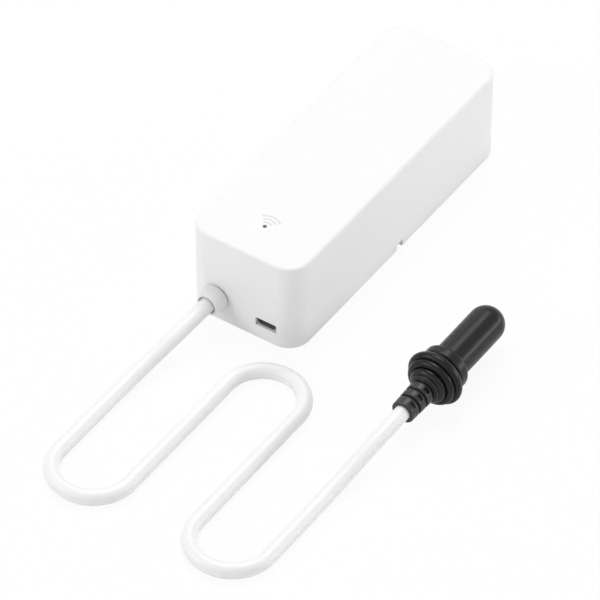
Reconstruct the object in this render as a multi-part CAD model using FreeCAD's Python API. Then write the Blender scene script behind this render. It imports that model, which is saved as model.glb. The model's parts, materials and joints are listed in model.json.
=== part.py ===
import FreeCAD
import Part
import math
import os
from FreeCAD import Vector

# Temperature and humidity sensor: a white box with a USB port, and a black
# probe on a white cord. Millimetres, +Z up, the long side of the box along Y.
# The origin is on the table, under the middle of the box.

# Case
case_length = 114.0
case_width = 40.0
case_height = 33.0
wall = 2.0
corner_radius = 7.5
top_edge_radius = 1.0
rim_edge = 0.4

# Bottom cover, pressed in between the walls
cover_thickness = 2.0
cover_gap = 0.15
cover_stop_gap = 0.1
tongue_height = 4.5
tongue_thickness = 1.2
tongue_length = 9.0
bead_radius = 0.35
stop_rib_length = 6.0
stop_rib_depth = 1.6
stop_rib_height = 3.0
row_pitch = 30.0

# Pry notch at the middle of the right wall
notch_width = 3.3
notch_height = 3.0
notch_depth = 0.8
notch_slot_height = 1.3
pry_lead_in = 1.0

# Port opening in the end wall
port_x = 9.2
port_width = 7.6
port_height = 4.1
port_bottom = 4.4
port_corner_radius = 0.5

# Main board, on posts that hang from the top of the case
board_thickness = 1.6
board_bottom = 8.3
board_edge_gap = 0.6
board_length = 34.0
board_notch_clearance = 1.1
board_notch_end_gap = 2.0
post_radius = 2.6
post_side_inset = 2.4
post_front_inset = 7.9
post_rear_inset = 3.2
header_post_gap = 0.6
screw_radius = 0.95
screw_pilot_gap = 0.05
screw_length = 7.0
screw_tip_gap = 1.0
screw_head_radius = 1.9
screw_head_height = 1.4
screw_recess_radius = 0.6
screw_recess_depth = 0.7
board_hole_gap = 0.25

# Micro USB receptacle
socket_width = 7.4
socket_height = 2.6
socket_length = 5.4
socket_sheet = 0.3
socket_chamfer = 0.8
socket_recess = 0.4
tongue_width = 3.7
tongue_plate = 0.7
tongue_reach = 3.6
tongue_drop = 0.35
tongue_back = 1.0

# Lamp and light pipe
lamp_from_end = 13.0
lamp_length = 2.0
lamp_width = 1.25
lamp_height = 0.8
pipe_tip_radius = 0.65
pipe_radius = 1.5
pipe_gap = 0.3
pipe_fit = 0.05
pipe_boss_wall = 1.0
pipe_boss_length = 12.0

# Radio module and small parts under the board, laid out from its port end
module_x = -2.2
module_inset = 12.9
module_width = 17.0
module_length = 16.0
module_thickness = 0.8
can_margin = 1.0
can_length = 12.0
can_height = 2.1
can_edge_radius = 0.4
chip_height = 0.9
chip_size = 3.0
clock_size = 2.5
charger_x = 2.4
charger_inset = 4.0
regulator_x = 13.2
regulator_inset = 23.4
clock_x = 9.2
clock_inset = 27.4
coil_x = 9.6
coil_inset = 22.8
coil_size = 3.6
coil_height = 2.0

# Pairing switch, pressed with a pin through the cover
switch_x = 10.6
switch_inset = 14.9
switch_size = 6.0
switch_height = 3.5
plunger_radius = 1.7
plunger_gap = 0.15
plunger_reach = 1.2
plunger_inside = 1.3
plunger_edge = 0.3
switch_travel = 0.25
pin_hole_radius = 1.0

# Cell and holder, behind the board
cell_radius = 9.2
cell_length = 49.5
cell_edge_radius = 0.8
nub_radius = 3.0
nub_height = 0.9
cell_height = 14.5
cell_gap = 0.3
holder_gap = 4.0
holder_wall = 1.6
holder_side = 1.5
holder_bottom = 5.5
holder_top = 25.6
holder_window_length = 30.0
holder_window_height = 8.0
lug_width = 4.6
lug_length = 8.0
lug_thickness = 2.0
lug_inset = 9.0
boss_radius = 2.6
contact_sheet = 0.4
contact_size = 12.0
contact_width = 6.0
negative_bow = 2.6
positive_bow = 1.6
cell_wire_radius = 0.6
cell_wire_spacing = 10.0
cell_wire_height = 17.0
cell_wire_inset = 3.0

# Cable gland in the end wall
gland_x = -9.0
gland_z = 9.6
gland_cap_radius = 4.5
gland_cap_front = 5.2
gland_cap_back = 0.45
gland_cap_rim = 0.9
gland_cap_rise = 0.35
gland_cap_lip = 3.6
gland_cap_mouth = 3.15
gland_cap_foot = 0.3
gland_body_radius = 3.6
gland_thread_reach = 7.0
gland_nose = 3.2
gland_body_edge = 0.4
gland_hole_gap = 0.1
gland_pad_radius = 6.4
gland_pad_height = 1.0
locknut_across_flats = 10.0
locknut_thickness = 2.5
thread_gap = 0.05
seal_thickness = 0.8
seal_gap = 0.05
seal_overlap = 0.4

# Cord
cord_radius = 2.5
cord_bore_gap = 0.05
lead_radius = 0.4
lead_pitch = 1.0
lead_count = 4
lead_height = 1.3
plug_width = 5.0
plug_height = 1.4
plug_length = 4.4
plug_gap = 0.1
header_gap = 3.5
header_wall = 0.6
header_depth = 4.6

# Probe, lying on its big ring with its axis along Y
probe_x = 65.2
probe_y = -66.9
boot_ring_radius = 9.4
tail_radius_start = 3.8
tail_radius_end = 4.2
tail_lead = 0.7
tail_pitch = 3.5
tail_segments = 3
tail_groove_width = 0.75
tail_groove_depth = 0.8
tail_slot_width = 1.4
tail_slot_depth = 0.5
tail_slot_span = 2.2
tail_slot_turn = 50.0
tail_edge = 0.2
tail_round = 0.6
boot_length = 20.5
ripple_radii = (4.8, 6.1, 7.9)
ripple_stations = (12.35, 14.45, 16.35)
ripple_rises = (0.4, 0.6, 1.1)
ring_crest = 17.6
ring_back_radius = 7.4
ring_back_edge = 0.7
boot_pocket_depth = 4.7
boot_end_radius = 7.0
collar_radius = 7.7
collar_length = 4.2
collar_edge = 1.3
collar_foot = 0.8
cap_radius = 5.9
cap_wall = 1.0
cap_dome_station = 45.45
cap_seat_gap = 0.1
probe_plug_length = 3.4
probe_board_width = 7.6
probe_board_thickness = 1.0
probe_board_start = 17.4
probe_board_end = 43.2
probe_slot_gap = 0.05
sensor_size = 2.5
sensor_height = 0.9
sensor_station = 39.7

# The cord's route from the gland to the probe, chosen by hand: straight out,
# down to the table, three U-turns, and up into the tail of the probe.
probe_z = boot_ring_radius
gland_mouth_y = -case_length / 2 - gland_nose - seal_thickness
cord_route = [
    (gland_x, gland_mouth_y, gland_z),
    (gland_x, -70.0, gland_z),
    (-14.0, -94.0, 2.5),
    (-14.0, -136.5, 2.5),
    (-6.6, -143.9, 2.5),
    (3.9, -143.9, 2.5),
    (11.3, -136.5, 2.5),
    (11.3, -75.1, 2.5),
    (18.7, -67.7, 2.5),
    (29.2, -67.7, 2.5),
    (36.6, -75.1, 2.5),
    (36.6, -137.7, 2.5),
    (44.1, -145.2, 2.5),
    (54.6, -145.2, 2.5),
    (62.1, -137.7, 2.5),
    (62.1, -99.0, 2.5),
    (probe_x, -75.6, probe_z),
    (probe_x, probe_y, probe_z),
]

# Places worked out from the sizes above
half_length = case_length / 2
half_width = case_width / 2
inner_top = case_height - wall
inner_half_length = half_length - wall
inner_half_width = half_width - wall
board_top = board_bottom + board_thickness
board_start = -inner_half_length + board_edge_gap
board_end = board_start + board_length
board_half_width = inner_half_width - board_edge_gap
board_corner_radius = corner_radius - wall - board_edge_gap
post_x = board_half_width - post_side_inset
lamp_y = -half_length + lamp_from_end
switch_y = board_start + switch_inset
gland_inner_end = -inner_half_length + gland_thread_reach
board_notch_end = gland_inner_end + board_notch_end_gap
header_y = board_notch_end + header_gap
holder_start = board_end + holder_gap
cavity_start = holder_start + holder_wall
cell_start = cavity_start + negative_bow
cell_end = cell_start + cell_length
cavity_end = cell_end + nub_height + positive_bow
holder_end = cavity_end + holder_wall
solids = {}


def block(x0, x1, y0, y1, z0, z1):
    return Part.makeBox(x1 - x0, y1 - y0, z1 - z0, Vector(x0, y0, z0))


def upright(x, y, radius, z0, z1):
    return Part.makeCylinder(radius, z1 - z0, Vector(x, y, z0), Vector(0, 0, 1))


def lying(x, z, radius, y0, y1):
    return Part.makeCylinder(radius, y1 - y0, Vector(x, y0, z), Vector(0, 1, 0))


def rounded_block(half_x, half_y, radius, z0, z1):
    body = block(-half_x, half_x, -half_y, half_y, z0, z1)
    corners = [e for e in body.Edges if e.BoundBox.ZLength > 0.5 * (z1 - z0)]
    return body.makeFillet(radius, corners)


def edges_at_height(shape, z):
    flat = [e for e in shape.Edges if e.BoundBox.ZLength < 1e-4]
    return [e for e in flat if abs(e.BoundBox.ZMin - z) < 1e-4]


def turned(edges_or_points, x, y, z):
    """A body of revolution about the line along Y through (x, y, z).

    Each entry is a point (radius, station), or a pair of points that says
    an arc: its middle and its end.
    """
    edges = []
    start = edges_or_points[0]
    here = Vector(start[0], start[1], 0)
    first = here
    for step in edges_or_points[1:]:
        if isinstance(step[0], tuple):
            middle, end = step
            there = Vector(end[0], end[1], 0)
            edges.append(Part.Arc(here, Vector(middle[0], middle[1], 0), there).toShape())
        else:
            there = Vector(step[0], step[1], 0)
            edges.append(Part.LineSegment(here, there).toShape())
        here = there
    if (here - first).Length > 1e-6:
        edges.append(Part.LineSegment(here, first).toShape())
    face = Part.Face(Part.Wire(edges))
    body = face.revolve(Vector(0, 0, 0), Vector(0, 1, 0), 360)
    body.translate(Vector(x, y, z))
    return body


def level_at(crest, side):
    """The middle of the arc from a side point to the crest, where it runs along the axis."""
    rise = crest[0] - side[0]
    run = side[1] - crest[1]
    radius = (rise * rise + run * run) / (2 * rise)
    half = math.atan2(run, radius - rise) / 2
    return (crest[0] - radius + radius * math.cos(half), crest[1] + radius * math.sin(half))


def bulged(start, end, rise):
    """An arc from start to end that bulges outward by rise, as its middle and its end."""
    run = Vector(end[0] - start[0], end[1] - start[1], 0)
    middle_x = (start[0] + end[0]) / 2 + rise * run.y / run.Length
    middle_y = (start[1] + end[1]) / 2 - rise * run.x / run.Length
    return ((middle_x, middle_y), end)


def tube_along(points, radius, name=None):
    """A round tube of straight runs joined by tangent arcs."""
    route = [Vector(*p) for p in points]
    edges = []
    radii = []
    here = route[0]
    for before, corner, after in zip(route, route[1:], route[2:]):
        run_in = corner - before
        run_out = after - corner
        cut = 0.45 * min(run_in.Length, run_out.Length)
        way_in = run_in.normalize()
        way_out = run_out.normalize()
        half_turn = way_in.getAngle(way_out) / 2
        arc_radius = cut / math.tan(half_turn)
        start = corner - way_in * cut
        end = corner + way_out * cut
        inward = (way_out - way_in).normalize()
        middle = corner + inward * (arc_radius / math.cos(half_turn) - arc_radius)
        edges.append(Part.LineSegment(here, start).toShape())
        edges.append(Part.Arc(start, middle, end).toShape())
        radii.append(arc_radius)
        here = end
    edges.append(Part.LineSegment(here, route[-1]).toShape())
    path = Part.Wire(edges)
    way = route[1] - route[0]
    ring = Part.Wire(Part.makeCircle(radius, route[0], way))
    tube = path.makePipeShell([ring], True, False)
    if name:
        section = math.pi * radius ** 2
        print(name, "length", round(path.Length, 2), "mm")
        print(name, "arc radii", [round(r, 1) for r in radii])
        print(name, "volume", round(tube.Volume, 1), "section x length", round(section * path.Length, 1))
    return tube


def together(shapes):
    """Separate solids that share one node."""
    return Part.makeCompound(shapes)


def joined(first, others):
    result = first
    for other in others:
        result = result.fuse(other)
    return result.removeSplitter()


def screw(x, y, seat, length):
    """A pan-head screw driven upward, its head against the face at seat."""
    head = upright(x, y, screw_head_radius, seat - screw_head_height, seat)
    rim = edges_at_height(head, seat - screw_head_height)
    head = head.makeChamfer(0.4 * screw_head_height, rim)
    recess_bottom = seat - screw_head_height
    recess = upright(x, y, screw_recess_radius, recess_bottom, recess_bottom + screw_recess_depth)
    shank = upright(x, y, screw_radius, seat - 0.1, seat + length)
    return head.cut(recess).fuse(shank)


def board_screw_places():
    front = board_start + post_front_inset
    rear = board_end - post_rear_inset
    behind_header = header_y + header_depth + header_post_gap + post_radius
    return [(post_x, front), (post_x, rear), (-post_x, behind_header), (-post_x, rear)]


def lug_screw_places():
    """One lug to the right near the holder's inner end, one to the left near its outer end."""
    x = cell_radius + cell_gap + holder_side + lug_width / 2
    return [(x, holder_start + lug_inset), (-x, holder_end - lug_inset)]


def tongue_rows():
    return [k * row_pitch for k in (-1, 0, 1)]


def stop_rib_rows():
    """Midway between the tongues' rows."""
    return [(k + 0.5) * row_pitch for k in (-2, -1, 0, 1)]


def make_case_shell():
    shell = rounded_block(half_width, half_length, corner_radius, 0, case_height)
    shell = shell.makeFillet(top_edge_radius, edges_at_height(shell, case_height))
    shell = shell.makeChamfer(rim_edge, edges_at_height(shell, 0))
    inner_radius = corner_radius - wall
    cavity = rounded_block(inner_half_width, inner_half_length, inner_radius, -1, inner_top)
    shell = shell.cut(cavity)
    added = []
    pilot_radius = screw_radius + screw_pilot_gap
    pilots = []
    for x, y in board_screw_places():
        added.append(upright(x, y, post_radius, board_top, inner_top + wall / 2))
        pilot_end = board_bottom + screw_length + screw_tip_gap
        pilots.append(upright(x, y, pilot_radius, board_top - 1, pilot_end))
    for x, y in lug_screw_places():
        added.append(upright(x, y, boss_radius, holder_top, inner_top + wall / 2))
        pilots.append(upright(x, y, pilot_radius, holder_top - 1, inner_top))
    boss_outer = pipe_radius + pipe_fit + pipe_boss_wall
    added.append(upright(0, lamp_y, boss_outer, inner_top - pipe_boss_length, inner_top + wall / 2))
    rib_bottom = cover_thickness + cover_stop_gap
    for y in stop_rib_rows():
        for sign in (-1, 1):
            x_wall = sign * (inner_half_width + wall / 2)
            x_tip = sign * (inner_half_width - stop_rib_depth)
            x0, x1 = min(x_wall, x_tip), max(x_wall, x_tip)
            half = stop_rib_length / 2
            added.append(block(x0, x1, y - half, y + half, rib_bottom, rib_bottom + stop_rib_height))
    pad_end = -inner_half_length + gland_pad_height
    added.append(lying(gland_x, gland_z, gland_pad_radius, -half_length + wall / 2, pad_end))
    shell = joined(shell, added)
    cuts = list(pilots)
    cuts.append(lying(gland_x, gland_z, gland_body_radius + gland_hole_gap, -half_length - 1, pad_end + 1))
    cuts.append(upright(0, lamp_y, pipe_tip_radius + pipe_fit, inner_top - 1, case_height + 1))
    cuts.append(upright(0, lamp_y, pipe_radius + pipe_fit, board_top, inner_top))
    cuts.append(port_cutter())
    half = notch_width / 2
    cuts.append(block(half_width - notch_depth, half_width + 1, -half, half, -1, notch_height))
    cuts.append(block(inner_half_width - 1, half_width + 1, -half, half, -1, notch_slot_height))
    for cutter in cuts:
        shell = shell.cut(cutter)
    return shell


def port_cutter():
    half = port_width / 2
    y0 = -half_length - 1
    y1 = -inner_half_length + 1
    cutter = block(port_x - half, port_x + half, y0, y1, port_bottom, port_bottom + port_height)
    sides = [e for e in cutter.Edges if e.BoundBox.YLength > 0.9 * (y1 - y0)]
    return cutter.makeFillet(port_corner_radius, sides)


def make_bottom_cover():
    half_x = inner_half_width - cover_gap
    half_y = inner_half_length - cover_gap
    cover = rounded_block(half_x, half_y, corner_radius - wall - cover_gap, 0, cover_thickness)
    added = []
    for y in tongue_rows():
        for sign in (-1, 1):
            outer = sign * (half_x - bead_radius)
            inner = sign * (half_x - bead_radius - tongue_thickness)
            x0, x1 = min(outer, inner), max(outer, inner)
            half = tongue_length / 2
            top = cover_thickness + tongue_height
            tongue = block(x0, x1, y - half, y + half, cover_thickness - 0.5, top)
            bead_z = top - 2 * bead_radius
            bead = lying(outer, bead_z, bead_radius, y - half, y + half)
            added.append(tongue.fuse(bead))
    cover = joined(cover, added)
    cover = cover.cut(upright(switch_x, switch_y, pin_hole_radius, -1, cover_thickness + 1))
    half = notch_width / 2
    lead_in = Part.makeBox(pry_lead_in, notch_width, pry_lead_in, Vector(0, 0, 0))
    lead_in.rotate(Vector(0, 0, 0), Vector(0, 1, 0), 45)
    lead_in.translate(Vector(half_x - pry_lead_in * math.sqrt(0.5), -half, 0))
    return cover.cut(lead_in)


def make_light_pipe():
    bottom = board_top + lamp_height + pipe_gap
    stem = upright(0, lamp_y, pipe_radius, bottom, inner_top)
    tip = upright(0, lamp_y, pipe_tip_radius, inner_top - 0.5, case_height)
    return stem.fuse(tip)


def make_board():
    board = block(-board_half_width, board_half_width, board_start, board_end, board_bottom, board_top)
    front = []
    for edge in board.Edges:
        box = edge.BoundBox
        if box.ZLength > 0.9 * board_thickness and box.YMax < board_start + 0.1:
            front.append(edge)
    board = board.makeFillet(board_corner_radius, front)
    notch_side = gland_x + locknut_across_flats / math.sqrt(3) + board_notch_clearance
    notch = block(-half_width, notch_side, -half_length, board_notch_end, 0, case_height)
    board = board.cut(notch)
    for x, y in board_screw_places():
        hole = upright(x, y, screw_radius + board_hole_gap, board_bottom - 1, board_top + 1)
        board = board.cut(hole)
    return board


def make_board_screws():
    return together([screw(x, y, board_bottom, screw_length) for x, y in board_screw_places()])


def make_socket():
    """The receptacle's bent sheet shell, hanging under the board's edge."""
    mouth = -half_length + socket_recess
    half = socket_width / 2
    bottom = board_bottom - socket_height

    def outline(inset):
        x0 = port_x - half + inset
        x1 = port_x + half - inset
        z0 = bottom + inset
        z1 = board_bottom - inset
        cut = socket_chamfer
        corners = [(x0, z1), (x1, z1), (x1, z0 + cut), (x1 - cut, z0), (x0 + cut, z0), (x0, z0 + cut)]
        corners.append(corners[0])
        return Part.Face(Part.makePolygon([Vector(x, mouth, z) for x, z in corners]))

    outer = outline(0).extrude(Vector(0, socket_length, 0))
    inner = outline(socket_sheet).extrude(Vector(0, socket_length - socket_sheet, 0))
    return outer.cut(inner)


def make_socket_tongue():
    mouth = -half_length + socket_recess
    back = mouth + socket_length - socket_sheet
    half = tongue_width / 2
    top = board_bottom - socket_sheet - tongue_drop
    plate = block(port_x - half, port_x + half, back - tongue_reach, back, top - tongue_plate, top)
    rear_half = socket_width / 2 - socket_sheet
    z0 = board_bottom - socket_height + socket_sheet + socket_chamfer
    z1 = board_bottom - socket_sheet
    rear = block(port_x - rear_half, port_x + rear_half, back - tongue_back, back, z0, z1)
    return plate.fuse(rear)


def make_lamp():
    half_x = lamp_length / 2
    y0 = lamp_y - lamp_width / 2
    y1 = lamp_y + lamp_width / 2
    base = block(-half_x, half_x, y0, y1, board_top, board_top + 0.4 * lamp_height)
    top = block(-0.6 * half_x, 0.6 * half_x, y0, y1, board_top, board_top + lamp_height)
    return base.fuse(top)


def under_board(x, y, width, length, z_top, height):
    return block(x - width / 2, x + width / 2, y - length / 2, y + length / 2, z_top - height, z_top)


def make_module():
    y = board_start + module_inset + module_length / 2
    return under_board(module_x, y, module_width, module_length, board_bottom, module_thickness)


def make_module_can():
    width = module_width - 2 * can_margin
    y = board_start + module_inset + can_margin + can_length / 2
    can = under_board(module_x, y, width, can_length, board_bottom - module_thickness, can_height)
    low = board_bottom - module_thickness - can_height
    return can.makeFillet(can_edge_radius, edges_at_height(can, low))


def make_chips():
    chips = [
        (charger_x, charger_inset, chip_size),
        (regulator_x, regulator_inset, chip_size),
        (clock_x, clock_inset, clock_size),
    ]
    made = []
    for x, inset, size in chips:
        made.append(under_board(x, board_start + inset, size, size, board_bottom, chip_height))
    return together(made)


def make_coil():
    coil = under_board(coil_x, board_start + coil_inset, coil_size, coil_size, board_bottom, coil_height)
    uprights = [e for e in coil.Edges if e.BoundBox.ZLength > 0.9 * coil_height]
    return coil.makeChamfer(0.2 * coil_size, uprights)


def make_switch_body():
    body = under_board(switch_x, switch_y, switch_size, switch_size, board_bottom, switch_height)
    low = board_bottom - switch_height
    bore_top = low + plunger_inside + 2 * switch_travel
    return body.cut(upright(switch_x, switch_y, plunger_radius + plunger_gap, low - 1, bore_top))


def make_switch_plunger():
    low = board_bottom - switch_height
    plunger = upright(switch_x, switch_y, plunger_radius, low - plunger_reach, low + plunger_inside)
    return plunger.makeChamfer(plunger_edge, edges_at_height(plunger, low - plunger_reach))


def make_cell_holder():
    trough_radius = cell_radius + cell_gap
    side = trough_radius + holder_side
    holder = block(-side, side, holder_start, holder_end, holder_bottom, holder_top)
    for x, y in lug_screw_places():
        root = math.copysign(side - holder_side, x)
        outer = math.copysign(side + lug_width, x)
        x0, x1 = min(root, outer), max(root, outer)
        half = lug_length / 2
        lug = block(x0, x1, y - half, y + half, holder_top - lug_thickness, holder_top)
        corners = [e for e in lug.Edges if e.BoundBox.ZLength > 1 and abs(e.BoundBox.XMin - outer) < 0.01]
        holder = holder.fuse(lug.makeFillet(0.45 * lug_width, corners))
    holder = holder.removeSplitter()
    holder = holder.cut(lying(0, cell_height, trough_radius, cavity_start, cavity_end))
    holder = holder.cut(block(-trough_radius, trough_radius, cavity_start, cavity_end, 0, cell_height))
    middle = (cavity_start + cavity_end) / 2
    half = holder_window_length / 2
    window_top = holder_bottom + holder_window_height
    holder = holder.cut(block(-half_width, half_width, middle - half, middle + half, 0, window_top))
    for x, y in lug_screw_places():
        holder = holder.cut(upright(x, y, screw_radius + board_hole_gap, holder_bottom, holder_top + 1))
    return holder


def make_holder_screws():
    seat = holder_top - lug_thickness
    length = inner_top - holder_top - screw_tip_gap + lug_thickness
    return together([screw(x, y, seat, length) for x, y in lug_screw_places()])


def make_cell():
    return turned(
        [
            (0, cell_start),
            (cell_radius - cell_edge_radius, cell_start),
            (cell_radius, cell_start + cell_edge_radius),
            (cell_radius, cell_end - cell_edge_radius),
            (cell_radius - cell_edge_radius, cell_end),
            (nub_radius, cell_end),
            (nub_radius, cell_end + nub_height),
            (0, cell_end + nub_height),
        ],
        0, 0, cell_height,
    )


def leaf_contact(wall_y, way, bow):
    """A back plate against the holder's end, with a bowed leaf that meets the cell."""
    half = contact_size / 2
    plate_y = wall_y + way * contact_sheet
    y0, y1 = min(wall_y, plate_y), max(wall_y, plate_y)
    plate = block(-half, half, y0, y1, cell_height - half, cell_height + half)
    tip = wall_y + way * bow
    rise = 0.8 * half

    def point(y, z):
        return Vector(-contact_width / 2, y, cell_height + z)

    outer = Part.Arc(point(plate_y, -rise), point(tip, 0), point(plate_y, rise)).toShape()
    back = tip - way * contact_sheet
    inner = Part.Arc(point(wall_y, rise), point(back, 0), point(wall_y, -rise)).toShape()
    top = Part.LineSegment(point(plate_y, rise), point(wall_y, rise)).toShape()
    foot = Part.LineSegment(point(wall_y, -rise), point(plate_y, -rise)).toShape()
    leaf = Part.Face(Part.Wire([outer, top, inner, foot])).extrude(Vector(contact_width, 0, 0))
    return plate.fuse(leaf)


def make_negative_contact():
    return leaf_contact(cavity_start, 1, negative_bow)


def make_positive_contact():
    return leaf_contact(cavity_end, -1, positive_bow)


def make_cell_wires():
    wires = []
    y = board_end - cell_wire_inset
    for sign in (-1, 1):
        x = sign * cell_wire_spacing / 2
        route = [(x, holder_start, cell_wire_height), (x, y, cell_wire_height), (x, y, board_top)]
        wires.append(tube_along(route, cell_wire_radius))
    return together(wires)


def make_gland_cap():
    """The clamping cap, a rounded cone; its mouth leaves the seal in shadow."""
    front = -half_length - gland_cap_front
    back = -half_length - gland_cap_back
    nose = -half_length - gland_nose
    rim = gland_cap_radius
    thread = gland_body_radius + thread_gap
    seat = gland_cap_mouth + seal_overlap + seal_gap
    lip = (gland_cap_lip, front)
    shoulder = (rim, back - gland_cap_rim)
    lip_back = gland_mouth_y - seal_gap
    return turned(
        [
            (gland_cap_mouth, front),
            lip,
            bulged(lip, shoulder, gland_cap_rise),
            (rim, back - gland_cap_foot),
            (rim - gland_cap_foot, back),
            (thread, back),
            (thread, nose),
            (seat, nose),
            (seat, lip_back),
            (gland_cap_mouth, lip_back),
        ],
        gland_x, 0, gland_z,
    )


def make_gland_body():
    bore = cord_radius + cord_bore_gap
    nose = -half_length - gland_nose
    radius = gland_body_radius
    edge = gland_body_edge
    return turned(
        [
            (bore, nose),
            (radius - edge, nose),
            (radius, nose + edge),
            (radius, gland_inner_end - edge),
            (radius - edge, gland_inner_end),
            (bore, gland_inner_end),
        ],
        gland_x, 0, gland_z,
    )


def make_gland_seal():
    front = -half_length - gland_nose - seal_thickness
    back = -half_length - gland_nose
    bore = cord_radius + cord_bore_gap
    seal = lying(gland_x, gland_z, gland_cap_mouth + seal_overlap, front, back)
    return seal.cut(lying(gland_x, gland_z, bore, front - 1, back + 1))


def make_locknut():
    start = -inner_half_length + gland_pad_height
    radius = locknut_across_flats / math.sqrt(3)
    corners = []
    for k in range(7):
        angle = math.radians(60 * k)
        corners.append(Vector(gland_x + radius * math.cos(angle), start, gland_z + radius * math.sin(angle)))
    nut = Part.Face(Part.makePolygon(corners)).extrude(Vector(0, locknut_thickness, 0))
    bore = lying(gland_x, gland_z, gland_body_radius + thread_gap, start - 1, start + locknut_thickness + 1)
    return nut.cut(bore)


def make_cord_stub():
    return lying(gland_x, gland_z, cord_radius, gland_mouth_y, gland_inner_end)


def lead_offsets():
    return [(k - (lead_count - 1) / 2) * lead_pitch for k in range(lead_count)]


def make_leads():
    z = gland_z + lead_height
    plug_back = header_y - (plug_length - header_depth + header_wall + plug_gap)
    leads = []
    for offset in lead_offsets():
        leads.append(lying(gland_x + offset, z, lead_radius, gland_inner_end, plug_back))
    return together(leads)


def make_lead_plug():
    z = gland_z + lead_height
    half = plug_width / 2
    end = header_y + header_depth - header_wall - plug_gap
    start = end - plug_length
    low = z - plug_height / 2
    body = block(gland_x - half, gland_x + half, start, end, low, low + plug_height)
    ridge_half = 0.3 * plug_width
    ridge = block(gland_x - ridge_half, gland_x + ridge_half, start, header_y, z, low + 1.3 * plug_height)
    return body.fuse(ridge)


def make_lead_header():
    z = gland_z + lead_height
    half = plug_width / 2 + plug_gap
    outer = half + header_wall
    top = z + plug_height / 2 + plug_gap
    low = z - plug_height / 2 - plug_gap
    end = header_y + header_depth
    body = block(gland_x - outer, gland_x + outer, header_y, end, board_top, top + header_wall)
    pocket = block(gland_x - half, gland_x + half, header_y - 1, end - header_wall, low, top)
    return body.cut(pocket)


def make_cord():
    return tube_along(cord_route, cord_radius, "sensor_cord")


def tail_radius(station):
    share = station / (tail_lead + tail_pitch * tail_segments)
    return tail_radius_start + share * (tail_radius_end - tail_radius_start)


def tail_ribs():
    """Where each rib of the tail starts and ends, counted from the cord."""
    ribs = []
    start = 0
    for k in range(tail_segments):
        end = tail_lead + (k + 1) * tail_pitch - tail_groove_width
        ribs.append((start, end))
        start = end + tail_groove_width
    return ribs


def make_boot():
    """The rubber boot: a ribbed tail, three ripples and the big ring."""
    bore = cord_radius + cord_bore_gap
    outline = [(bore, 0), (tail_radius(0) - tail_edge, 0), (tail_radius(0), tail_edge)]
    corner = tail_round * (1 - math.sqrt(0.5))
    for _, rib_end in tail_ribs():
        rim = tail_radius(rib_end)
        bottom = rim - tail_groove_depth
        end = rib_end + tail_groove_width
        outline.append((rim, rib_end - tail_round))
        outline.append(((rim - corner, rib_end - corner), (rim - tail_round, rib_end)))
        outline.append((bottom, rib_end))
        outline.append((bottom, end))
        outline.append((tail_radius(end) - tail_edge, end))
        outline.append((tail_radius(end), end + tail_edge))
    here = outline[-1]
    for radius, station, rise in zip(ripple_radii, ripple_stations, ripple_rises):
        crease = (radius, station)
        outline.append(bulged(here, crease, rise))
        here = crease
    crest = (boot_ring_radius, ring_crest)
    ring_back = (ring_back_radius, boot_length - ring_back_edge)
    outline.append((level_at(crest, here), crest))
    outline.append((level_at(crest, ring_back), ring_back))
    outline.append((boot_end_radius, boot_length))
    pocket = cap_radius + cap_seat_gap
    pocket_floor = boot_length - boot_pocket_depth
    outline.append((pocket, boot_length))
    outline.append((pocket, pocket_floor))
    outline.append((bore, pocket_floor))
    boot = turned(outline, probe_x, probe_y, probe_z)
    for start, rib_end in tail_ribs():
        middle = probe_y + (start + rib_end) / 2
        outer = tail_radius_end + 1
        inner = tail_radius_start - tail_slot_depth
        half = tail_slot_width / 2
        across = tail_slot_span / 2
        for side in (-1, 1):
            near = min(side * inner, side * outer)
            far = max(side * inner, side * outer)
            slot = block(near, far, middle - half, middle + half, -across, across)
            slot.rotate(Vector(0, 0, 0), Vector(0, 1, 0), -tail_slot_turn)
            slot.translate(Vector(probe_x, 0, probe_z))
            boot = boot.cut(slot)
    return boot


def make_collar():
    start = boot_length
    end = boot_length + collar_length
    edge = collar_edge
    foot = collar_foot
    corner = edge * (1 - math.sqrt(0.5))
    foot_corner = foot * (1 - math.sqrt(0.5))
    bore = cap_radius + cap_seat_gap / 2
    rim = collar_radius
    return turned(
        [
            (bore, start),
            (rim - foot, start),
            ((rim - foot_corner, start + foot_corner), (rim, start + foot)),
            (rim, end - edge),
            ((rim - corner, end - corner), (rim - edge, end)),
            (bore, end),
        ],
        probe_x, probe_y, probe_z,
    )


def make_cap():
    start = boot_length - boot_pocket_depth + cap_seat_gap
    dome = cap_dome_station
    outer = cap_radius
    inner = cap_radius - cap_wall
    slant = math.sqrt(0.5)
    return turned(
        [
            (inner, start),
            (outer, start),
            (outer, dome),
            ((outer * slant, dome + outer * slant), (0, dome + outer)),
            (0, dome + inner),
            ((inner * slant, dome + inner * slant), (inner, dome)),
        ],
        probe_x, probe_y, probe_z,
    )


def probe_slot(gap):
    half_width_here = probe_board_width / 2 + gap
    half_height = probe_board_thickness / 2 + gap
    y0 = probe_y + probe_board_start - gap
    y1 = probe_y + probe_board_end
    x0 = probe_x - half_width_here
    x1 = probe_x + half_width_here
    return block(x0, x1, y0, y1, probe_z - half_height, probe_z + half_height)


def make_probe_plug():
    start = boot_length - boot_pocket_depth + cap_seat_gap
    radius = cap_radius - cap_wall - cap_seat_gap / 2
    plug = lying(probe_x, probe_z, radius, probe_y + start, probe_y + start + probe_plug_length)
    return plug.cut(probe_slot(probe_slot_gap))


def make_probe_board():
    return probe_slot(0)


def make_sensor_chip():
    half = sensor_size / 2
    y = probe_y + sensor_station
    z = probe_z + probe_board_thickness / 2
    chip = block(probe_x - half, probe_x + half, y - half, y + half, z, z + sensor_height)
    window = upright(probe_x, y, 0.2 * sensor_size, z + 0.5 * sensor_height, z + 2 * sensor_height)
    return chip.cut(window)


def make_probe_stub():
    floor = boot_length - boot_pocket_depth
    return lying(probe_x, probe_z, cord_radius, probe_y, probe_y + floor)


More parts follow.
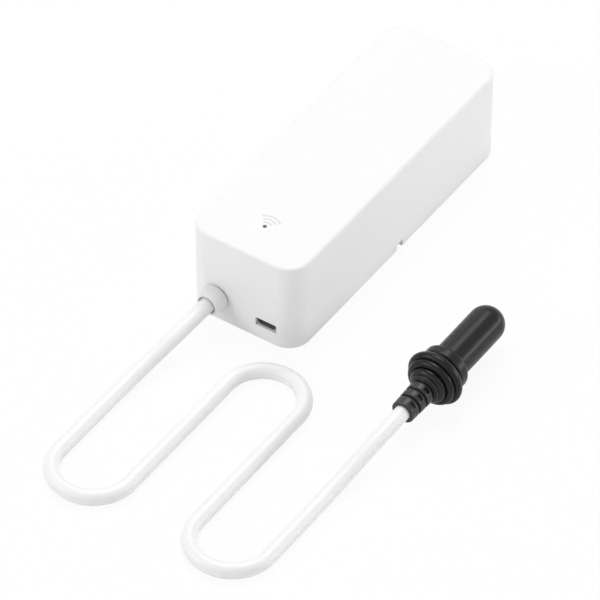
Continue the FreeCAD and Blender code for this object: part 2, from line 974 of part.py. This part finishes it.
solids["case_shell"] = make_case_shell()
solids["bottom_cover"] = make_bottom_cover()
solids["light_pipe"] = make_light_pipe()
solids["main_board"] = make_board()
solids["board_screws"] = make_board_screws()
solids["usb_shell"] = make_socket()
solids["usb_tongue"] = make_socket_tongue()
solids["status_lamp"] = make_lamp()
solids["radio_board"] = make_module()
solids["radio_can"] = make_module_can()
solids["board_chips"] = make_chips()
solids["board_coil"] = make_coil()
solids["switch_body"] = make_switch_body()
solids["switch_plunger"] = make_switch_plunger()
solids["cell_holder"] = make_cell_holder()
solids["holder_screws"] = make_holder_screws()
solids["battery_cell"] = make_cell()
solids["negative_contact"] = make_negative_contact()
solids["positive_contact"] = make_positive_contact()
solids["cell_wires"] = make_cell_wires()
solids["gland_cap"] = make_gland_cap()
solids["gland_body"] = make_gland_body()
solids["gland_seal"] = make_gland_seal()
solids["gland_locknut"] = make_locknut()
solids["cord_inner_end"] = make_cord_stub()
solids["lead_wires"] = make_leads()
solids["lead_plug"] = make_lead_plug()
solids["lead_header"] = make_lead_header()
solids["sensor_cord"] = make_cord()
solids["probe_boot"] = make_boot()
solids["probe_collar"] = make_collar()
solids["probe_cap"] = make_cap()
solids["probe_plug"] = make_probe_plug()
solids["probe_board"] = make_probe_board()
solids["sensor_chip"] = make_sensor_chip()
solids["cord_probe_end"] = make_probe_stub()

os.makedirs("parts", exist_ok=True)
for name, shape in solids.items():
    if not shape.isValid():
        print("not valid:", name)
    shape.exportStep(os.path.join("parts", name + ".step"))
    print(name, "solids", len(shape.Solids), "volume", round(shape.Volume, 2))
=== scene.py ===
import bpy
import bmesh
import json
import math
from mathutils import Matrix, Vector


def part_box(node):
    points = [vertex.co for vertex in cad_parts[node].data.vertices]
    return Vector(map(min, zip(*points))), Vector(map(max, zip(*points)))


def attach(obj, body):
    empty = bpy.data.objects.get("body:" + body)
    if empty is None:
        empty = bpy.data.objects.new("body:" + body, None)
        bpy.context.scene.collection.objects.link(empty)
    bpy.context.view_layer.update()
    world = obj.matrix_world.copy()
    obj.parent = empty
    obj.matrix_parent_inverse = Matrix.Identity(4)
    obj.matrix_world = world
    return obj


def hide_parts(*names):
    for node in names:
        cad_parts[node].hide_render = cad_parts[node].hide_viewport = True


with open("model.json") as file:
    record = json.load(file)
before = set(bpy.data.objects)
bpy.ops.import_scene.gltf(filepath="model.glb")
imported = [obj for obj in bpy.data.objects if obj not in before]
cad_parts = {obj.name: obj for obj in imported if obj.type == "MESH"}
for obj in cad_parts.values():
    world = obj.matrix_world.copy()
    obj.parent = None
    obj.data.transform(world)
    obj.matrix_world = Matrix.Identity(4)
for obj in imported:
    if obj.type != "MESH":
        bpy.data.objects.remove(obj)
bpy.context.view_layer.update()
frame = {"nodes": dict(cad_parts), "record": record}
nodes = frame["nodes"]
mm = 0.001

# The photograph's camera: where it looks from, in degrees, and how far the
# middle of its view lies from the origin, to the right and up
view_azimuth = 34.27
view_elevation = 43.88
view_distance = 1778.6 * mm
view_right = -14.19 * mm
view_up = -23.58 * mm
# Its focal length and the photograph's width in pixels, its sensor's width in
# mm, and the distances between which it sees, in metres
focal_pixels = 5747.0
photo_pixels = 600.0
sensor_width = 36.0
nearest_seen = 0.05
farthest_seen = 20.0

# The cord, in mm. Its route is the one of the part's source, with one more
# point near each U-turn on the long straight runs
cord_diameter = 5.0
cord_route = [
    (-9.0, -61.0, 9.6),
    (-9.0, -70.0, 9.6),
    (-14.0, -94.0, 2.5),
    (-14.0, -126.0, 2.5),
    (-14.0, -136.5, 2.5),
    (-6.6, -143.9, 2.5),
    (3.9, -143.9, 2.5),
    (11.3, -136.5, 2.5),
    (11.3, -126.0, 2.5),
    (11.3, -85.6, 2.5),
    (11.3, -75.1, 2.5),
    (18.7, -67.7, 2.5),
    (29.2, -67.7, 2.5),
    (36.6, -75.1, 2.5),
    (36.6, -85.6, 2.5),
    (36.6, -127.2, 2.5),
    (36.6, -137.7, 2.5),
    (44.1, -145.2, 2.5),
    (54.6, -145.2, 2.5),
    (62.1, -137.7, 2.5),
    (62.1, -127.2, 2.5),
    (62.1, -99.0, 2.5),
    (65.2, -75.6, 9.4),
    (65.2, -66.9, 9.4),
]
# Steps round the cord's section, and along it from point to point
cord_round_steps = 10
cord_run_steps = 16

# The signal sign round the dot on the top, in mm and degrees: its arcs open
# away from the port end, and most of their thickness is sunk into the top
sign_centre = (0.0, -44.0)
sign_radii = (1.9, 3.3, 4.7)
sign_stroke = 0.55
sign_half_angle = 40.0
sign_sunk = 0.03
sign_thickness = 0.045
sign_arc_steps = 24
sign_end_steps = 8

# The lip that closes the foot of the port's opening up to the height that the
# photograph shows, in mm. It is let into the opening's floor by its seat, and
# reaches past each side of the receptacle by lip_side
lip_top = 5.3
lip_foot = 4.4
lip_seat = 0.05
lip_side = 0.1
# From the end face to its front, from there to its back, and its rounded edge
lip_set_back = 0.03
lip_depth = 2.0
lip_edge = 0.2
lip_edge_steps = 6

# The boot's rubber turns paler towards the tail's end: where that starts on y, and where it is
# full
tail_pale_start = -53 * mm
tail_pale_full = -59 * mm

# The main board's glass weave, and the copper tracks under its lacquer, whose
# half width is a share of their pitch
weave_pitch = 0.45 * mm
track_pitch = 3.2 * mm
track_half_width = 0.06

# The plain background, and the share of it that gloss and glass show
plain_white = (1, 1, 1, 1)
reflected_share = 0.4

# The white table keeps shadows this far from the object, in metres, and is
# plain white from twice as far; near the object it glows by this share
shadow_reach = 0.45
table_glow = 0.92
table_size = 6.0

# The sky's strength for the light it gives, and as a plain white background
sky_soft = 0.38
sky_white = 1.0

# Each lamp faces the origin: its place and its sides in metres, and its watts
lamps = [
    ("overhead_panel", (-0.25, 0.55, 1.5), (0.9, 0.9), 13.9),
    ("horizon_strip", (1.25, 0.9, 0.28), (1.4, 0.3), 6.2),
    ("front_panel", (0.0, -1.45, 0.7), (0.8, 0.8), 2.4),
    ("back_left_panel", (-1.1, 0.95, 0.7), (0.8, 0.8), 1.0),
    ("left_fill", (-0.9, -1.1, 0.8), (0.8, 0.8), 7.3),
    ("right_fill", (1.3, 0.0, 0.9), (0.8, 0.8), 2.2),
]


def make_camera():
    azimuth = math.radians(view_azimuth)
    elevation = math.radians(view_elevation)
    right = Vector((math.cos(azimuth), math.sin(azimuth), 0))
    back = Vector((math.sin(azimuth) * math.cos(elevation),
                   -math.cos(azimuth) * math.cos(elevation),
                   math.sin(elevation)))
    up = back.cross(right)
    data = bpy.data.cameras.new("photo_camera")
    data.sensor_width = sensor_width
    data.lens = focal_pixels / photo_pixels * sensor_width
    data.clip_start = nearest_seen
    data.clip_end = farthest_seen
    camera = link("photo_camera", data)
    turn = Matrix((right, up, back)).transposed().to_4x4()
    place = right * view_right + up * view_up + back * view_distance
    camera.matrix_world = Matrix.Translation(place) @ turn
    bpy.context.scene.camera = camera


def link(name, data):
    piece = bpy.data.objects.new(name, data)
    bpy.context.scene.collection.objects.link(piece)
    return piece


def make_cord():
    """The free cord, in place of its CAD solid."""
    curve = bpy.data.curves.new("sensor_cord_line", "CURVE")
    curve.dimensions = "3D"
    curve.bevel_depth = 1.0
    curve.bevel_resolution = cord_round_steps
    curve.resolution_u = cord_run_steps
    curve.use_fill_caps = True
    spline = curve.splines.new("NURBS")
    spline.points.add(len(cord_route) - 1)
    for point, place in zip(spline.points, cord_route):
        point.co = (*(c * mm for c in place), 1.0)
        point.radius = cord_diameter / 2 * mm
    spline.order_u = 3
    spline.use_endpoint_u = True
    spline.use_smooth = True
    cord = link("cord", curve)
    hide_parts("sensor_cord")
    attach(cord, "case")
    return cord


class Signal:
    """A socket that takes part in a sum: each operator adds a Math node."""

    def __init__(self, nodes, socket):
        self.nodes = nodes
        self.socket = socket

    def math(self, operation, *values):
        return self.nodes.add("ShaderNodeMath", {"operation": operation}, dict(enumerate(values)))

    def __add__(self, other):
        return self.math("ADD", self, other)

    def __radd__(self, other):
        return self.math("ADD", other, self)

    def __sub__(self, other):
        return self.math("SUBTRACT", self, other)

    def __rsub__(self, other):
        return self.math("SUBTRACT", other, self)

    def __mul__(self, other):
        return self.math("MULTIPLY", self, other)

    def __rmul__(self, other):
        return self.math("MULTIPLY", other, self)

    def __truediv__(self, other):
        return self.math("DIVIDE", self, other)

    def __rtruediv__(self, other):
        return self.math("DIVIDE", other, self)

    def sine(self):
        return self.math("SINE", self)

    def above(self, limit):
        return self.math("GREATER_THAN", self, limit)

    def clamped(self):
        return self.math("MINIMUM", self.math("MAXIMUM", self, 0.0), 1.0)


class Nodes:
    """An empty node tree, and the one way to add to it."""

    def __init__(self, tree):
        self.tree = tree
        self.tree.nodes.clear()

    def add(self, kind, settings=None, sockets=None, output=0):
        node = self.tree.nodes.new(kind)
        for key, value in (settings or {}).items():
            setattr(node, key, value)
        for key, value in (sockets or {}).items():
            self.join(node.inputs[key], value)
        return Signal(self, node.outputs[output])

    def join(self, socket, value):
        if isinstance(value, Signal):
            self.tree.links.new(value.socket, socket)
        else:
            socket.default_value = value

    def background_rays(self):
        """How much of the plain background a ray meets: the camera's all, gloss and glass some."""
        paths = self.add("ShaderNodeLightPath").socket.node
        camera, gloss, glass = [Signal(self, paths.outputs["Is %s Ray" % kind])
                                for kind in ("Camera", "Glossy", "Transmission")]
        return (camera + (gloss + glass) * reflected_share).clamped()


class Finish(Nodes):
    """One material: a Principled shader and the nodes that feed it."""

    def __init__(self, name, colour, roughness, metallic=0.0, **constants):
        self.data = bpy.data.materials.new(name)
        self.data.use_nodes = True
        self.data.diffuse_color = (*colour, 1.0)
        super().__init__(self.data.node_tree)
        self.shader = self.tree.nodes.new("ShaderNodeBsdfPrincipled")
        self.output = self.tree.nodes.new("ShaderNodeOutputMaterial")
        self.tree.links.new(self.shader.outputs["BSDF"], self.output.inputs["Surface"])
        self.feed("Base Color", (*colour, 1.0))
        self.feed("Roughness", roughness)
        self.feed("Metallic", metallic)
        for key, value in constants.items():
            self.feed(key.replace("_", " "), value)

    def feed(self, key, value):
        self.join(self.shader.inputs[key], value)

    def place(self):
        """The point on the piece, in metres, as it lies at rest."""
        return self.add("ShaderNodeTexCoord", output="Object")

    def split(self, vector):
        parts = self.add("ShaderNodeSeparateXYZ", sockets={0: vector}).socket.node
        return [Signal(self, output) for output in parts.outputs]

    def scaled(self, vector, factors):
        settings = {"operation": "MULTIPLY"}
        return self.add("ShaderNodeVectorMath", settings, {0: vector, 1: factors})

    def noise(self, vector, size, detail=3.0, rough=0.55, shift=0.0):
        """Cloudy noise between 0 and 1, of blotches about size metres wide.

        shift moves it along, so that two noises on one piece don't fall together."""
        moved = self.add("ShaderNodeVectorMath", {"operation": "ADD"},
                         {0: vector, 1: (shift, shift, shift)})
        sockets = {"Vector": moved, "Scale": 1.0 / size, "Detail": detail, "Roughness": rough}
        return self.add("ShaderNodeTexNoise", {"noise_dimensions": "3D"}, sockets)

    def speckle(self, vector, size):
        """Distance to the nearest of many points, about size metres apart."""
        sockets = {"Vector": vector, "Scale": 1.0 / size}
        return self.add("ShaderNodeTexVoronoi", {"feature": "F1"}, sockets)

    def mix(self, share, first, second):
        settings = {"data_type": "RGBA"}
        sockets = {0: share, 6: first, 7: second}
        return self.add("ShaderNodeMix", settings, sockets, output=2)

    def bump(self, height, depth, strength):
        sockets = {"Height": height, "Distance": depth, "Strength": strength}
        return self.add("ShaderNodeBump", None, sockets)


def grey(level):
    return (level, level, level)


def shade(colour, factor=1.0):
    return (*(min(1.0, c * factor) for c in colour), 1.0)


def blended(first, second, share):
    """Two patterns in one: the second's share, and the rest of the first."""
    return first * (1 - share) + second * share


def varied(middle, pattern, spread):
    """A value that follows a pattern of 0 to 1, over spread in all, round its middle."""
    return middle - spread / 2 + pattern * spread


def moulded(name, colour, roughness=0.42, grain=0.12 * mm, spread=0.015, **constants):
    """Moulded plastic: fine spark texture, faint flow clouds, gloss that varies a little."""
    finish = Finish(name, colour, roughness, **constants)
    place = finish.place()
    clouds = finish.noise(place, size=14 * mm, detail=2.0)
    fine = finish.noise(place, size=grain, detail=2.0, rough=0.6, shift=0.37)
    rubbed = finish.noise(place, size=5 * mm, detail=4.0, rough=0.6, shift=0.71)
    share = blended(clouds, fine, share=0.3)
    finish.feed("Base Color",
                finish.mix(share, shade(colour, 1 - spread), shade(colour, 1 + spread)))
    finish.feed("Roughness", varied(roughness, rubbed, spread=0.1))
    finish.feed("Normal", finish.bump(fine, depth=0.004 * mm, strength=0.6))
    return finish


def rubber(name, colour, roughness=0.5, gloss=0.5, paler_tail=None):
    """Soft moulded rubber with fine pores; given a paler colour, it turns to that along y towards
    the boot's tail end.
    """
    finish = Finish(name, colour, roughness, Specular_IOR_Level=gloss)
    place = finish.place()
    pores = finish.speckle(place, size=0.25 * mm)
    clouds = finish.noise(place, size=4 * mm, detail=4.0)
    fine = finish.noise(place, size=0.15 * mm, detail=2.0, rough=0.6, shift=0.53)
    share = blended(clouds, fine, share=0.4)
    tone = finish.mix(share, shade(colour, 0.75), shade(colour, 1.5))
    # Base colour mixed in patches towards the paler colour along y, full at the tail's end
    if paler_tail:
        y = finish.split(place)[1]
        reach = ((y - tail_pale_start) / (tail_pale_full - tail_pale_start)).clamped()
        tone = finish.mix(reach * varied(1.0, clouds, spread=0.6), tone, shade(paler_tail))
    finish.feed("Base Color", tone)
    finish.feed("Roughness", varied(roughness, clouds, spread=0.16))
    finish.feed("Normal", finish.bump(fine + pores, depth=0.008 * mm, strength=0.5))
    return finish


def sheet_metal(name, colour, roughness=0.3):
    """Rolled and plated sheet: lines drawn along x and a dull, uneven film."""
    finish = Finish(name, colour, roughness, metallic=1.0)
    place = finish.place()
    drawn = finish.noise(finish.scaled(place, factors=(1.0, 12.0, 12.0)), size=0.6 * mm)
    film = finish.noise(place, size=2.5 * mm, detail=4.0, rough=0.6, shift=0.19)
    finish.feed("Base Color", finish.mix(film, shade(colour, 0.9), shade(colour, 1.06)))
    finish.feed("Roughness", varied(roughness, drawn, spread=0.12) + film * 0.08)
    finish.feed("Normal", finish.bump(drawn, depth=0.004 * mm, strength=0.4))
    return finish


def board_finish(name, colour):
    """Green lacquer over copper tracks, with a faint glass weave."""
    finish = Finish(name, colour, roughness=0.35)
    place = finish.place()
    x, y = finish.split(place)[:2]
    thread = 2 * math.pi / weave_pitch
    weave = (x * thread).sine() * (y * thread).sine()
    cells = finish.add("ShaderNodeTexVoronoi",
                       {"feature": "DISTANCE_TO_EDGE", "voronoi_dimensions": "3D"},
                       {"Vector": place, "Scale": 1 / track_pitch, "Randomness": 0.55})
    tracks = (track_half_width - cells).above(0.0)
    pour = finish.noise(place, size=9 * mm, detail=1.0).above(0.53)
    copper = blended(tracks, pour, share=0.2)
    finish.feed("Base Color", finish.mix(copper, shade(colour), shade(colour, 1.9)))
    finish.feed("Roughness", 0.3 + pour * 0.08 + weave * 0.03)
    finish.feed("Normal", finish.bump(tracks + weave * 0.1, depth=0.02 * mm, strength=0.5))
    return finish


def sleeve(name, colour):
    """Shrink sleeve of the cell: glossy film with faint wrinkles round it."""
    finish = Finish(name, colour, roughness=0.22)
    place = finish.place()
    wrinkles = finish.noise(finish.scaled(place, factors=(1.0, 5.0, 1.0)), size=6 * mm)
    clouds = finish.noise(place, size=12 * mm, detail=2.0, rough=0.5, shift=0.4)
    finish.feed("Base Color", finish.mix(clouds, shade(colour, 0.85), shade(colour, 1.15)))
    finish.feed("Roughness", varied(0.24, wrinkles, spread=0.12))
    finish.feed("Normal", finish.bump(wrinkles, depth=0.06 * mm, strength=0.4))
    return finish


def jacket(name, colour, roughness=0.38):
    """Extruded cord jacket: very fine lines and a soft bloom."""
    finish = Finish(name, colour, roughness)
    place = finish.place()
    bloom = finish.noise(place, size=7 * mm)
    fine = finish.noise(place, size=0.2 * mm, detail=2.0, rough=0.6, shift=0.9)
    finish.feed("Base Color", finish.mix(bloom, shade(colour, 0.985), shade(colour, 1.015)))
    finish.feed("Roughness", varied(roughness, bloom, spread=0.08))
    finish.feed("Normal", finish.bump(fine, depth=0.004 * mm, strength=0.5))
    return finish


def make_finishes():
    """One finish for each material slot of the record."""
    white = grey(0.87)
    return {
        "case_plastic": moulded("white_case_plastic", white, Specular_IOR_Level=0.3),
        "cover_plastic": moulded("white_cover_plastic", white, roughness=0.46),
        "gland_plastic": moulded("white_gland_nylon", white, roughness=0.36, grain=0.2 * mm),
        "seal_rubber": rubber("pale_seal_rubber", grey(0.6)),
        "cord_jacket": jacket("white_cord_jacket", white),
        "probe_rubber": rubber("black_probe_rubber", grey(0.007), roughness=0.28, gloss=0.26,
                               paler_tail=grey(0.04)),
        "probe_plastic": moulded("black_probe_plastic", grey(0.014), roughness=0.28,
                                 spread=0.2, Specular_IOR_Level=0.25),
        "lens_plastic": moulded("smoky_lens", (0.12, 0.12, 0.125), roughness=0.25, spread=0.1),
        "solder_mask": board_finish("green_board", (0.01, 0.09, 0.045)),
        "chip_epoxy": moulded("black_chip_epoxy", grey(0.02), roughness=0.5, spread=0.15),
        "tinned_steel": sheet_metal("tinned_sheet", (0.72, 0.71, 0.68)),
        "socket_steel": sheet_metal("dull_socket_steel", (0.55, 0.55, 0.56), roughness=0.5),
        "zinc_steel": sheet_metal("zinc_plating", (0.62, 0.62, 0.63), roughness=0.35),
        "cell_wrap": sleeve("blue_cell_sleeve", (0.03, 0.14, 0.33)),
        "holder_plastic": moulded("black_holder_plastic", grey(0.025), roughness=0.5,
                                  spread=0.2),
        "lamp_body": moulded("pale_lamp_body", (0.72, 0.66, 0.35), roughness=0.3),
        "connector_plastic": moulded("cream_connector_nylon", (0.70, 0.66, 0.55),
                                     roughness=0.45),
        "wire_jacket": jacket("red_wire_jacket", (0.45, 0.03, 0.02), roughness=0.35),
    }


def dress_nodes(finishes):
    slots = {entry["node"]: entry["material_slot"] for entry in frame["record"]["subparts"]}
    for name, piece in nodes.items():
        piece.data.materials.clear()
        piece.data.materials.append(finishes[slots[name]].data)


def extruded(name, outlines, way):
    """A piece of closed prisms: each outline of points, drawn out along the vector way."""
    mesh = bmesh.new()
    for outline in outlines:
        face = mesh.faces.new([mesh.verts.new(place) for place in outline])
        grown = bmesh.ops.extrude_face_region(mesh, geom=[face])
        moved = [part for part in grown["geom"] if isinstance(part, bmesh.types.BMVert)]
        bmesh.ops.translate(mesh, verts=moved, vec=way)
    bmesh.ops.recalc_face_normals(mesh, faces=mesh.faces)
    data = bpy.data.meshes.new(name)
    mesh.to_mesh(data)
    mesh.free()
    return link(name, data)


def arc_outline(radius, height):
    """One arc of the sign with round ends, as points at that height in metres."""
    half = sign_stroke / 2
    sweep = math.radians(sign_half_angle)
    shares = [2 * k / sign_arc_steps - 1 for k in range(sign_arc_steps + 1)]
    turns = [math.pi * k / sign_end_steps for k in range(1, sign_end_steps)]

    def outward(angle):
        return Vector((math.sin(angle), math.cos(angle)))

    def round_end(end):
        angle = end * sweep
        along = Vector((math.cos(angle), -math.sin(angle))) * end
        return [outward(angle) * (radius + end * half * math.cos(turn))
                + along * half * math.sin(turn) for turn in turns]

    outer = [outward(sweep * share) * (radius + half) for share in shares]
    inner = [outward(sweep * share) * (radius - half) for share in reversed(shares)]
    points = outer + round_end(1) + inner + round_end(-1)
    return [((sign_centre[0] + x) * mm, (sign_centre[1] + y) * mm, height) for x, y in points]


def make_sign():
    """The printed arcs: thin strips, sunk a little into the top."""
    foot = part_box("case_shell")[1][2] - sign_sunk * mm
    outlines = [arc_outline(radius, foot) for radius in sign_radii]
    sign = extruded("signal_sign", outlines, (0, 0, sign_thickness * mm))
    ink = moulded("grey_sign_ink", (0.68, 0.68, 0.69), roughness=0.5)
    sign.data.materials.append(ink.data)
    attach(sign, "case")


def make_port_lip(finishes):
    """The moulded lip below the receptacle, in the opening of the end wall."""
    socket_low, socket_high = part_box("usb_shell")
    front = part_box("case_shell")[0][1] + lip_set_back * mm
    back = front + lip_depth * mm
    foot = (lip_foot - lip_seat) * mm
    top = lip_top * mm
    edge = lip_edge * mm
    left = socket_low[0] - lip_side * mm
    right = socket_high[0] + lip_side * mm
    profile = [(back, foot), (front, foot)]
    for k in range(lip_edge_steps + 1):
        turn = math.pi / 2 * k / lip_edge_steps
        profile.append((front + edge * (1 - math.cos(turn)), top - edge * (1 - math.sin(turn))))
    profile.append((back, top))
    lip = extruded("port_lip", [[(left, y, z) for y, z in profile]], (right - left, 0, 0))
    lip.data.materials.append(finishes["case_plastic"].data)
    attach(lip, "case")


def make_floor():
    """A white table: it glows for the camera, gloss and glass, and keeps part of the shadow."""
    mesh = bpy.data.meshes.new("white_table")
    half = table_size / 2
    corners = [(-half, -half, 0), (half, -half, 0), (half, half, 0), (-half, half, 0)]
    mesh.from_pydata(corners, [], [(0, 1, 2, 3)])
    floor = link("white_table", mesh)
    finish = Finish("white_table_paint", grey(0.9), roughness=0.9)
    rays = finish.background_rays()
    distance = finish.add("ShaderNodeVectorMath", {"operation": "LENGTH"},
                          {0: finish.place()}, output="Value")
    far = ((distance - shadow_reach) / shadow_reach).clamped()
    glow = finish.add("ShaderNodeEmission", None, {"Color": plain_white, "Strength": 1.0})
    paint = Signal(finish, finish.shader.outputs["BSDF"])
    share = rays * (table_glow + far * (1 - table_glow))
    shown = finish.add("ShaderNodeMixShader", None, {0: share, 1: paint, 2: glow})
    finish.join(finish.output.inputs["Surface"], shown)
    mesh.materials.append(finish.data)


def make_world():
    """A soft even sky; the camera sees it plain white, and gloss and glass partly."""
    world = bpy.data.worlds.new("studio")
    bpy.context.scene.world = world
    world.use_nodes = True
    sky = Nodes(world.node_tree)
    soft, white = [sky.add("ShaderNodeBackground", None,
                           {"Color": plain_white, "Strength": strength})
                   for strength in (sky_soft, sky_white)]
    shown = sky.add("ShaderNodeMixShader", None, {0: sky.background_rays(), 1: soft, 2: white})
    output = sky.tree.nodes.new("ShaderNodeOutputWorld")
    sky.join(output.inputs["Surface"], shown)


def make_lights():
    for name, place, size, power in lamps:
        data = bpy.data.lights.new(name, "AREA")
        data.shape = "RECTANGLE"
        data.size, data.size_y = size
        data.energy = power
        lamp = link(name, data)
        lamp.location = place
        lamp.rotation_euler = (-Vector(place)).to_track_quat("-Z", "Y").to_euler()


make_camera()
cord = make_cord()
finishes = make_finishes()
dress_nodes(finishes)
cord.data.materials.append(finishes["cord_jacket"].data)
make_sign()
make_port_lip(finishes)
make_floor()
make_world()
make_lights()

view = bpy.context.scene.view_settings
view.view_transform = "Standard"

# The new objects' boxes are known only after this
bpy.context.view_layer.update()
